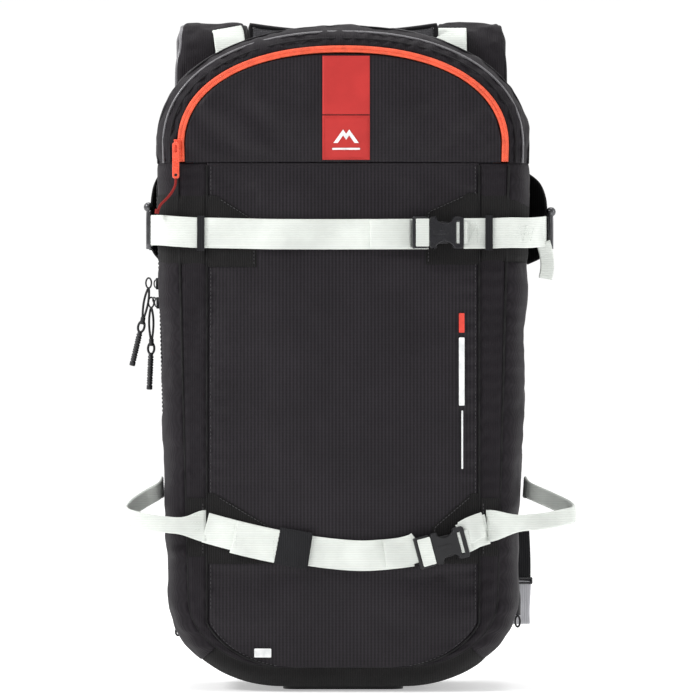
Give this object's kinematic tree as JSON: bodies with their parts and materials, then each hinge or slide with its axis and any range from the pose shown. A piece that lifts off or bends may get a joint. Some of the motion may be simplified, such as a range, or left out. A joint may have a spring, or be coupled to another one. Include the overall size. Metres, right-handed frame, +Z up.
{
  "type": "avalanche airbag backpack",
  "caption": "Ski touring backpack with an airbag compartment round its top, front zip flap, compression straps, ski loops and harness.",
  "frame": {"origin": "centre of the flat base patch that the pack stands on", "axes": "+Z up along the pack, -Y towards the front face away from the wearer, +X to the viewer's right"},
  "size_m": [0.3731, 0.2899, 0.5658],
  "materials": {
    "front_fabric": "ripstop weave with fine ribs",
    "shell_fabric": "coated ripstop weave",
    "patch_fabric": "coarse reinforcement weave",
    "zip_coral": "coil zip",
    "mesh_foam": "dimpled air mesh over foam",
    "label_red": "soft label",
    "board": "polyethylene sheet",
    "steel": "satin",
    "airbag_fabric": "coated nylon, folded",
    "buckle_plastic": "moulded plastic",
    "hose_black": "rubber",
    "webbing_white": "woven webbing",
    "webbing_black": "woven webbing",
    "cord_red": "braided cord",
    "zip_black": "coil zip",
    "grip_red": "moulded grip",
    "webbing_grey": "woven webbing"
  },
  "bodies": {
    "pack": {"front_panel": "front_fabric", "front_strip_left": "shell_fabric", "front_strip_right": "shell_fabric", "side_panel_left": "shell_fabric", "side_panel_right": "shell_fabric", "base_panel": "shell_fabric", "base_patch": "patch_fabric", "airbag_cover": "shell_fabric", "main_zip_tape": "zip_coral", "back_panel": "mesh_foam", "frame_sheet": "board", "frame_stays": "steel", "back_pads": "mesh_foam", "lumbar_pad": "mesh_foam", "yoke_pad": "mesh_foam", "airbag": "airbag_fabric", "gas_cartridge": "steel", "inflator_head": "buckle_plastic", "inflation_hose": "hose_black", "trigger_cable": "hose_black", "strap_patches": "patch_fabric", "upper_strap_left": "webbing_white", "upper_strap_right": "webbing_white", "strap_keepers": "webbing_black", "lower_strap_left": "webbing_white", "lower_strap_right": "webbing_white", "compression_wings": "patch_fabric", "side_hooks": "steel", "ski_loop_left": "webbing_white", "ski_loop_right": "webbing_white", "upper_socket": "buckle_plastic", "lower_socket": "buckle_plastic", "side_zip_tape": "zip_black", "shoulder_strap_left": "mesh_foam", "shoulder_strap_right": "mesh_foam", "load_lifters": "webbing_white", "strap_webbing": "webbing_black", "trigger_pocket": "shell_fabric"},
    "flap": {"flap_panel": "shell_fabric", "flap_label": "label_red", "flap_zip_tape": "zip_coral"},
    "main_slider": {"main_slider": "zip_coral"},
    "main_pull": {"main_pull": "zip_coral", "main_pull_cord": "cord_red"},
    "upper_plug": {"upper_plug": "buckle_plastic"},
    "lower_plug": {"lower_plug": "buckle_plastic"},
    "side_slider_upper": {"side_slider_upper": "steel"},
    "side_pull_upper": {"side_pull_upper": "buckle_plastic"},
    "side_slider_lower": {"side_slider_lower": "steel"},
    "side_pull_lower": {"side_pull_lower": "buckle_plastic"},
    "trigger_handle": {"trigger_handle": "grip_red"},
    "firing_pin": {"firing_pin": "steel"},
    "sternum_strap": {"sternum_strap": "webbing_black", "sternum_buckle": "buckle_plastic"},
    "haul_loop": {"haul_loop": "webbing_black"},
    "hip_wing_left": {"hip_wing_left": "mesh_foam", "hip_buckle_left": "webbing_black"},
    "hip_wing_right": {"hip_wing_right": "mesh_foam", "hip_buckle_right": "webbing_black", "hip_gear_strap": "webbing_grey"}
  },
  "joints": [
    {"name": "flap_hinge", "type": "hinge", "parent": "pack", "child": "flap", "pos_m": [0, -0.076, 0.436], "axis": [1, 0, 0], "range_deg": [0, 100]},
    {"name": "main_slider_run", "type": "hinge", "parent": "pack", "child": "main_slider", "pos_m": [-0.074, -0.076, 0.45], "axis": [0, 1, 0], "range_deg": [0, 30]},
    {"name": "main_pull_swing", "type": "hinge", "parent": "main_slider", "child": "main_pull", "pos_m": [-0.1375, -0.0814, 0.4524], "axis": [-1, 0, 0], "range_deg": [0, 90]},
    {"name": "upper_buckle_release", "type": "slide", "parent": "pack", "child": "upper_plug", "axis": [-0.999, -0.0454, 0], "range_m": [0, 0.03]},
    {"name": "lower_buckle_release", "type": "slide", "parent": "pack", "child": "lower_plug", "axis": [-0.9606, -0.101, -0.2588], "range_m": [0, 0.03]},
    {"name": "side_slider_upper_run", "type": "slide", "parent": "pack", "child": "side_slider_upper", "axis": [-0.0268, 0, 0.9996], "range_m": [0, 0.022]},
    {"name": "side_pull_upper_swing", "type": "hinge", "parent": "side_slider_upper", "child": "side_pull_upper", "pos_m": [-0.162, -0.029, 0.337], "axis": [0, 1, 0], "range_deg": [-10, 60]},
    {"name": "side_slider_lower_run", "type": "slide", "parent": "pack", "child": "side_slider_lower", "axis": [-0.0268, 0, 0.9996], "range_m": [-0.07, 0]},
    {"name": "side_pull_lower_swing", "type": "hinge", "parent": "side_slider_lower", "child": "side_pull_lower", "pos_m": [-0.1605, -0.015, 0.321], "axis": [0, 1, 0], "range_deg": [0, 60]},
    {"name": "trigger_pull", "type": "slide", "parent": "pack", "child": "trigger_handle", "axis": [0, 0, -1], "range_m": [0, 0.045]},
    {"name": "firing_pin_stroke", "type": "slide", "parent": "pack", "child": "firing_pin", "axis": [0, 0, -1], "range_m": [0, 0.006]},
    {"name": "sternum_slide", "type": "slide", "parent": "pack", "child": "sternum_strap", "axis": [0, 0, 1], "range_m": [-0.022, 0.03]},
    {"name": "haul_loop_swing", "type": "hinge", "parent": "pack", "child": "haul_loop", "pos_m": [0, 0.078, 0.535], "axis": [1, 0, 0], "range_deg": [0, 120]},
    {"name": "hip_wing_left_fold", "type": "hinge", "parent": "pack", "child": "hip_wing_left", "pos_m": [-0.092, 0.074, 0.085], "axis": [0, 0, 1], "range_deg": [-10, 18]},
    {"name": "hip_wing_right_fold", "type": "hinge", "parent": "pack", "child": "hip_wing_right", "pos_m": [0.092, 0.074, 0.085], "axis": [0, 0, -1], "range_deg": [-10, 18]}
  ],
  "couplings": [
    {"joint": "firing_pin_stroke", "follows": "trigger_pull", "ratio": 0.13333}
  ]
}
